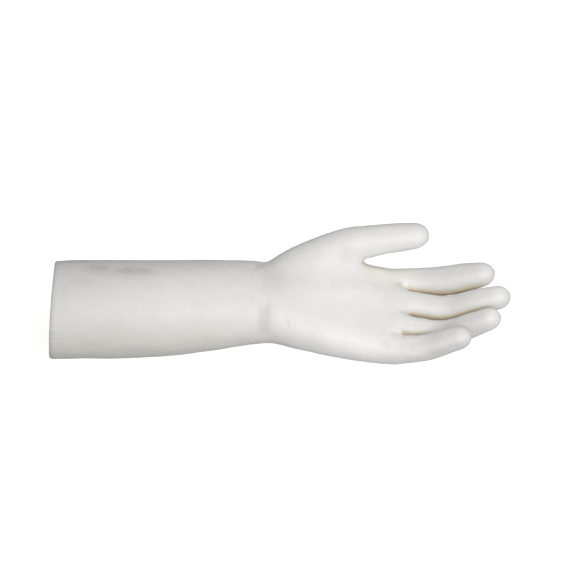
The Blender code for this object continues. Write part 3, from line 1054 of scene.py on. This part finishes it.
# ------------------------------------------------------------------
# Materials
# ------------------------------------------------------------------
class Graph:
    """A short way to write the nodes of a material or a world."""

    def __init__(self, owner):
        owner.use_nodes = True
        self.tree = owner.node_tree
        self.tree.nodes.clear()

    def add(self, kind, inputs=None, **settings):
        node = self.tree.nodes.new(kind)
        for key, value in settings.items():
            setattr(node, key, value)
        for key, value in (inputs or {}).items():
            if isinstance(value, bpy.types.NodeSocket):
                self.tree.links.new(value, node.inputs[key])
            else:
                node.inputs[key].default_value = value
        return node

    def calc(self, operation, first, second=0.0):
        inputs = {0: first, 1: second}
        return self.add("ShaderNodeMath", inputs, operation=operation).outputs[0]

    def product(self, first, second):
        return self.calc("MULTIPLY", first, second)

    def vector(self, operation, *values, output=0):
        inputs = dict(enumerate(values))
        return self.add("ShaderNodeVectorMath", inputs, operation=operation).outputs[output]

    def split(self, vector):
        return self.add("ShaderNodeSeparateXYZ", {0: vector}).outputs

    def mix(self, share, under, over):
        inputs = {0: share}
        for key, colour in ((6, under), (7, over)):
            is_socket = isinstance(colour, bpy.types.NodeSocket)
            inputs[key] = colour if is_socket else (*colour, 1.0)
        return self.add("ShaderNodeMix", inputs, data_type="RGBA").outputs[2]

    def noise(self, vector, scale, detail=2.0, rough=0.5, distort=0.0):
        inputs = {"Vector": vector, "Scale": scale, "Detail": detail, "Roughness": rough,
                  "Distortion": distort}
        return self.add("ShaderNodeTexNoise", inputs).outputs[0]

    def span(self, value, start, end, low=0.0, high=1.0):
        """low where value is start, high where it is end, eased between."""
        inputs = {0: value, 1: start, 2: end, 3: low, 4: high}
        return self.add(
            "ShaderNodeMapRange", inputs, interpolation_type="SMOOTHSTEP").outputs[0]

    def attribute(self, name, socket="Fac"):
        return self.add("ShaderNodeAttribute", attribute_name=name).outputs[socket]

    def closeness(self, distance):
        """Ambient occlusion: 1 in the open, less where surfaces lie within distance."""
        inputs = {"Distance": distance * MM}
        return self.add("ShaderNodeAmbientOcclusion", inputs, samples=8).outputs["AO"]

    def millimetres(self):
        """Rest place in the glove's own frame, so that no texture slides when a joint bends."""
        scaled = self.vector("MULTIPLY", self.attribute("rest", "Vector"), (1000.0,) * 3)
        return self.vector("SUBTRACT", scaled, tuple(SHIFT))

    def patch(self, vector, centre, sizes, peak):
        """peak at a centre, fading to 0 at an oval's edge."""
        moved = self.vector("SUBTRACT", vector, centre)
        scaled = self.vector("MULTIPLY", moved, tuple(1 / size for size in sizes))
        length = self.vector("LENGTH", scaled, output="Value")
        return self.span(length, 0.0, 1.0, low=peak, high=0.0)

    def bumps(self, *layers):
        """Bump nodes in a chain, from (height, distance) pairs."""
        normal = None
        for height, distance in layers:
            inputs = {"Height": height, "Distance": distance * MM, "Strength": 1.0}
            if normal is not None:
                inputs["Normal"] = normal
            normal = self.add("ShaderNodeBump", inputs).outputs[0]
        return normal

    def surface(self, **inputs):
        inputs = {key.replace("_", " "): value for key, value in inputs.items()}
        shader = self.add("ShaderNodeBsdfPrincipled", inputs)
        self.add("ShaderNodeOutputMaterial", {0: shader.outputs[0]})


SKIN = dict(
    base=(0.752, 0.746, 0.732),
    bright=(0.788, 0.784, 0.774),
    cloud=(0.732, 0.722, 0.698),
    mottle=(0.715, 0.702, 0.678),
    speck=(0.655, 0.642, 0.610),
    # painted shade: greyer from the hand back to the wrist
    sleeve=(0.640, 0.636, 0.626),
    # painted shade: greyer still towards the cuff
    cuff=(0.600, 0.595, 0.582),
    pebble=(0.585, 0.572, 0.545),
    # painted shade on the sleeve's lower side
    under=(0.690, 0.668, 0.620),
    # painted warm bounce light between thumb and index finger
    web_bounce=(0.880, 0.845, 0.755),
    # painted light on the thumb's end
    thumb_tip_light=(0.835, 0.830, 0.820),
    # painted shade along the fingers
    fingers=(0.600, 0.594, 0.580),
    # painted shade in the folds
    fold_shade=(0.545, 0.535, 0.520),
    # painted shade along the finger roots
    line=(0.340, 0.290, 0.190),
    # painted shade where the skin comes close to itself
    near=(0.700, 0.612, 0.440),
    # painted deep shade where the skin comes closest
    nearest=(0.400, 0.335, 0.215),
    # painted shade between the ring and little fingers
    between=(0.520, 0.465, 0.350),
    # painted shade of two hollows on the sleeve
    lobe_shade=(0.430, 0.425, 0.405),
    # painted shade along the sleeve's upper edge
    upper_edge_shade=(0.430, 0.428, 0.400),
    soil=(0.560, 0.548, 0.515),
)
# painted shade: two grey lobes on the sleeve
SLEEVE_SHADE_LOBES = (
    dict(centre=(-138.0, 7.0, 41.5), sizes=(18.0, 9.5, 11.0), peak=0.80),
    dict(centre=(-109.0, 4.5, 42.5), sizes=(29.0, 10.0, 12.0), peak=0.68),
)


def skin_material(name):
    material = bpy.data.materials.new(name)
    graph = Graph(material)
    place = graph.millimetres()
    x = graph.split(place)[0]
    broad = graph.noise(place, scale=0.022, detail=3.0, rough=0.55)
    cloud = graph.noise(place, scale=0.085, detail=4.0, rough=0.6, distort=0.4)
    fine = graph.noise(place, scale=0.9, detail=3.0, rough=0.6)
    speck = graph.noise(place, scale=3.1, detail=1.0)
    colour = graph.mix(graph.span(broad, start=0.35, end=0.65), SKIN["base"], SKIN["bright"])
    # cloud, mottle and speck are the skin's own uneven tone; the sleeve and cuff rows are
    # painted shade, greyer from the hand back to the wrist and on to the cuff, where the light
    # falls off. The sleeve's grain below shows more
    # measure, where the tint starts and is full, its strength, its colour
    for measure, start, end, strength, tint in (
        (cloud, 0.45, 0.75, 0.55, "cloud"),
        (fine, 0.48, 0.72, 0.60, "mottle"),
        (speck, 0.60, 0.78, 0.30, "speck"),
        (x, 56.0, 6.0, 0.34, "sleeve"),
        (x, 0.0, -178.0, 0.42, "cuff"),
    ):
        share = graph.span(measure, start, end, high=strength)
        colour = graph.mix(share, colour, SKIN[tint])
    pebble = graph.noise(place, scale=0.62, detail=2.0, rough=0.75)
    sleeve = graph.span(x, start=30.0, end=-20.0)
    share = graph.product(sleeve, graph.span(pebble, start=0.46, end=0.70, high=0.40))
    colour = graph.mix(share, colour, SKIN["pebble"])
    # painted shade: the sleeve darker and warmer towards its lower side in the view
    height = graph.vector("DOT_PRODUCT", place, tuple(UPWARD), output="Value")
    share = graph.product(sleeve, graph.span(height, start=0.0, end=-34.0, high=0.55))
    colour = graph.mix(share, colour, SKIN["under"])
    # painted light: a warm creamy glow between thumb and index finger, where light bounces
    # between them; painted light: lighter at the thumb's end; painted shade: greyer along the
    # fingers
    warm = graph.patch(place, centre=(95.0, 27.0, 0.0), sizes=(36.0, 20.0, 22.0), peak=0.75)
    colour = graph.mix(warm, colour, SKIN["web_bounce"])
    # painted light: the thumb's end lighter
    thumb_tip_light = graph.patch(place, centre=(133.0, 53.0, 20.0), sizes=(30.0, 24.0, 24.0), peak=0.6)
    colour = graph.mix(thumb_tip_light, colour, SKIN["thumb_tip_light"])
    y = graph.split(place)[1]
    # painted shade: greyer along the middle of the fingers
    finger_shade = graph.product(
        graph.span(x, start=112.0, end=142.0), graph.span(x, start=186.0, end=166.0))
    finger_shade = graph.product(finger_shade, graph.span(y, start=46.0, end=38.0, high=0.36))
    colour = graph.mix(finger_shade, colour, SKIN["fingers"])
    # painted shade along the finger roots and in the folds
    for mark, strength in (("fold_shade", 1.0), ("line", 0.80)):
        share = graph.product(graph.attribute(mark), strength)
        colour = graph.mix(share, colour, SKIN[mark])
    # painted shade from ambient occlusion: a creamy tan where the skin comes close to itself,
    # dark brown where it comes closest, in any pose
    near = graph.closeness(6.0)
    colour = graph.mix(
        graph.span(near, start=0.70, end=0.56, high=0.76), colour, SKIN["near"])
    colour = graph.mix(
        graph.span(near, start=0.36, end=0.12, high=0.45), colour, SKIN["nearest"])
    # painted shade in the same way between the ring and little fingers, which lie further apart
    wide = graph.closeness(15.0)
    between = graph.calc("MINIMUM", graph.patch(
        place, centre=(138.0, -30.0, 2.0), sizes=(46.0, 24.0, 34.0), peak=2.4), 1.0)
    share = graph.product(between, graph.span(wide, start=0.86, end=0.60, high=0.85))
    colour = graph.mix(share, colour, SKIN["between"])
    # painted shade: two grey lobes on the sleeve, the shading of soft hollows
    lobe_shade = graph.calc("MAXIMUM", *[graph.patch(place, **row) for row in SLEEVE_SHADE_LOBES])
    patchy = graph.noise(place, scale=0.10, detail=3.0, rough=0.6)
    lobe_shade = graph.product(lobe_shade, graph.span(patchy, start=0.35, end=0.65, low=0.55))
    colour = graph.mix(lobe_shade, colour, SKIN["lobe_shade"])
    # painted shade: darker along the sleeve's upper edge, where the light falls off
    upper_edge_shade = graph.patch(place, centre=(-158.0, 20.0, 31.0), sizes=(76.0, 11.0, 13.0), peak=0.50)
    patchy = graph.noise(place, scale=0.05)
    upper_edge_shade = graph.product(upper_edge_shade, graph.span(patchy, start=0.3, end=0.6, low=0.6))
    colour = graph.mix(upper_edge_shade, colour, SKIN["upper_edge_shade"])
    # soiled streaks by the cuff's edge
    streak = graph.vector("MULTIPLY", place, (0.012, 0.35, 0.35))
    streak = graph.noise(streak, scale=1.0, detail=3.0, rough=0.6)
    soil = graph.product(
        graph.span(x, start=-160.0, end=-177.0),
        graph.span(streak, start=0.40, end=0.70, low=0.05, high=0.5))
    colour = graph.mix(soil, colour, SKIN["soil"])
    rough = graph.calc(
        "ADD", graph.span(cloud, start=0.3, end=0.7, low=0.50, high=0.60),
        graph.span(fine, start=0.3, end=0.7, low=-0.05, high=0.05))
    pores = graph.add(
        "ShaderNodeTexVoronoi", {"Vector": place, "Scale": 0.62, "Randomness": 1.0},
        feature="F1").outputs["Distance"]
    pores = graph.span(pores, start=0.05, end=0.16)
    grain = graph.noise(place, scale=2.4, detail=3.0, rough=0.62)
    peel = graph.noise(place, scale=0.46, rough=0.55)
    drape = graph.noise(graph.vector("MULTIPLY", place, (0.5, 1.0, 1.0)), scale=0.11)
    normal = graph.bumps((drape, 0.45), (peel, 0.15), (grain, 0.035), (pores, 0.03))
    graph.surface(
        Base_Color=colour, Roughness=rough, Normal=normal, Sheen_Weight=0.10,
        Sheen_Roughness=0.5, Specular_IOR_Level=0.42)
    return material


WALES = 118.0  # knit columns around the lining
STITCH = 1.55  # length of one stitch
KNIT = dict(
    gap=(0.520, 0.480, 0.400),
    yarn=(0.735, 0.705, 0.635),
    aged=(0.690, 0.650, 0.560),
    fuzz=(0.780, 0.755, 0.700),
)


def lining_material(name):
    material = bpy.data.materials.new(name)
    graph = Graph(material)
    place = graph.millimetres()
    weave = graph.split(graph.attribute("weave", "Vector"))
    turn = graph.calc("DIVIDE", graph.calc("ARCTAN2", weave[1], weave[0]), 2 * math.pi)
    across = graph.product(turn, WALES)
    along = graph.calc("DIVIDE", weave[2], STITCH)
    drift = graph.product(graph.noise(place, scale=0.16), 0.9)
    wale = graph.product(graph.calc("PINGPONG", across, 0.5), 2.0)
    # each stitch leans across its column, and the rows drift a little
    phase = graph.calc("ADD", graph.calc("ADD", along, graph.product(wale, 0.55)), drift)
    stitch = graph.calc("SINE", graph.product(phase, 2 * math.pi))
    stitch = graph.calc("ADD", graph.product(stitch, 0.5), 0.5)
    knit = graph.product(
        graph.calc("POWER", wale, 0.6), graph.calc("ADD", graph.product(stitch, 0.6), 0.4))
    fuzz = graph.noise(place, scale=2.8, detail=4.0, rough=0.7)
    colour = graph.mix(knit, KNIT["gap"], KNIT["yarn"])
    aged = graph.noise(place, scale=0.05, detail=3.0)
    colour = graph.mix(graph.span(aged, start=0.35, end=0.7, high=0.4), colour, KNIT["aged"])
    colour = graph.mix(graph.span(fuzz, start=0.45, end=0.75, high=0.35), colour, KNIT["fuzz"])
    normal = graph.bumps((knit, 0.35), (fuzz, 0.10))
    graph.surface(
        Base_Color=colour, Roughness=0.93, Normal=normal, Sheen_Weight=0.45,
        Sheen_Roughness=0.6, Specular_IOR_Level=0.2)
    return material


# ------------------------------------------------------------------
# The glove
# ------------------------------------------------------------------
skin_look = skin_material("dipped_skin")
edge_look = skin_material("dipped_edge")
lining_look = lining_material("knit_lining")

outside = finished(voxel=1.0, step=1.05, inset=0.0)
dress(
    outside, thickness=0.8, material=skin_look, kind="skin", layer="shell",
    extra=painted_crease_shade(outside.points, outside.normals))
cuff_bead(outside, edge_look)

lining_step = 1.5
lining = finished(voxel=lining_step, step=lining_step, inset=1.1)
centre_y, centre_z, half_width, half_depth, _ = section(lining.points[:, 0])
lining.points += (0.10 * waves(lining.points, seed=31, size=4.4))[:, None] * lining.normals
# place around the section and distance along the arm, for the knit
weave = np.stack([
    (lining.points[:, 1] - centre_y) / half_width,
    (lining.points[:, 2] - centre_z) / half_depth, lining.points[:, 0]], 1)
dress(
    lining, thickness=1.2, material=lining_look, kind="lining", layer="liner",
    extra={"weave": weave})

# ------------------------------------------------------------------
# Stage, light, camera: lengths in metres
# ------------------------------------------------------------------
scene = bpy.context.scene
WHITE = (1, 1, 1, 1)
FLOOR_HALF = 4.0
FLOOR_DROP = 0.0005
TARGET = Vector(put((14.35, 12.72, 8.26)))
CAMERA_DISTANCE = 1.6
VIEW_WIDTH = 0.46494
LIGHT_SIDE = Vector((0.34, 0.0, 0.0))  # both lights stand towards the fingertips


def floor_material():
    """Pale and matt, with a glow that only the camera sees."""
    material = bpy.data.materials.new("pale_floor")
    graph = Graph(material)
    soft = graph.noise(graph.add("ShaderNodeTexCoord").outputs["Object"], scale=3.0)
    colour = graph.mix(soft, (0.50, 0.50, 0.50), (0.52, 0.52, 0.515))
    matt = graph.add("ShaderNodeBsdfDiffuse", {"Color": colour, "Roughness": 0.5})
    glow = graph.add("ShaderNodeEmission", {"Color": WHITE, "Strength": 0.84})
    dark = graph.add("ShaderNodeEmission", {"Color": WHITE, "Strength": 0.0})
    seen = graph.add("ShaderNodeLightPath").outputs["Is Camera Ray"]
    lit = graph.add("ShaderNodeMixShader", {0: seen, 1: dark.outputs[0], 2: glow.outputs[0]})
    both = graph.add("ShaderNodeAddShader", {0: matt.outputs[0], 1: lit.outputs[0]})
    graph.add("ShaderNodeOutputMaterial", {0: both.outputs[0]})
    return material


def add_floor():
    mesh = bpy.data.meshes.new("floor")
    corners = [
        (x * FLOOR_HALF, y * FLOOR_HALF, 0) for x, y in ((-1, -1), (1, -1), (1, 1), (-1, 1))]
    mesh.from_pydata(corners, [], [(0, 1, 2, 3)])
    floor = bpy.data.objects.new("floor", mesh)
    floor.location = (0, 0, -FLOOR_DROP)
    scene.collection.objects.link(floor)
    mesh.materials.append(floor_material())


def aim(thing, way):
    thing.rotation_mode = "QUATERNION"
    thing.rotation_quaternion = way.to_track_quat("-Z", "Y")


def add_camera():
    data = bpy.data.cameras.new("camera")
    data.type = "ORTHO"
    data.ortho_scale = VIEW_WIDTH
    data.clip_start, data.clip_end = 0.01, 20.0
    camera = bpy.data.objects.new("camera", data)
    camera.location = TARGET + Vector(TOWARD) * CAMERA_DISTANCE
    aim(camera, -Vector(TOWARD))
    scene.collection.objects.link(camera)
    scene.camera = camera


def area_light(name, forward, rise, width, watts, tint):
    """A square light, forward to the camera's side of the target and rise up the view."""
    data = bpy.data.lights.new(name, "AREA")
    data.shape = "SQUARE"
    data.size = width
    data.energy = watts
    data.color = tint
    light = bpy.data.objects.new(name, data)
    place = TARGET + Vector(TOWARD) * forward + Vector(UPWARD) * rise + LIGHT_SIDE
    light.location = place
    aim(light, TARGET - place)
    scene.collection.objects.link(light)


def add_world():
    """A soft warm surround that the camera sees as plain white."""
    world = bpy.data.worlds.new("studio")
    scene.world = world
    graph = Graph(world)
    ambient = graph.add("ShaderNodeBackground", {0: (1.0, 0.984, 0.960, 1), 1: 0.42})
    backdrop = graph.add("ShaderNodeBackground", {0: WHITE, 1: 1.0})
    seen = graph.add("ShaderNodeLightPath").outputs["Is Camera Ray"]
    either = graph.add(
        "ShaderNodeMixShader", {0: seen, 1: ambient.outputs[0], 2: backdrop.outputs[0]})
    graph.add("ShaderNodeOutputWorld", {0: either.outputs[0]})


add_floor()
add_camera()
area_light(
    "key", forward=1.18, rise=-0.06, width=0.42, watts=9.45, tint=(0.985, 0.992, 1.0))
area_light(
    "overhead", forward=0.85, rise=0.80, width=1.1, watts=1.5, tint=(0.99, 0.994, 1.0))
add_world()

scene.view_settings.view_transform = "Standard"
scene.view_settings.look = "None"
scene.view_settings.exposure = 0.0
scene.view_settings.gamma = 1.0
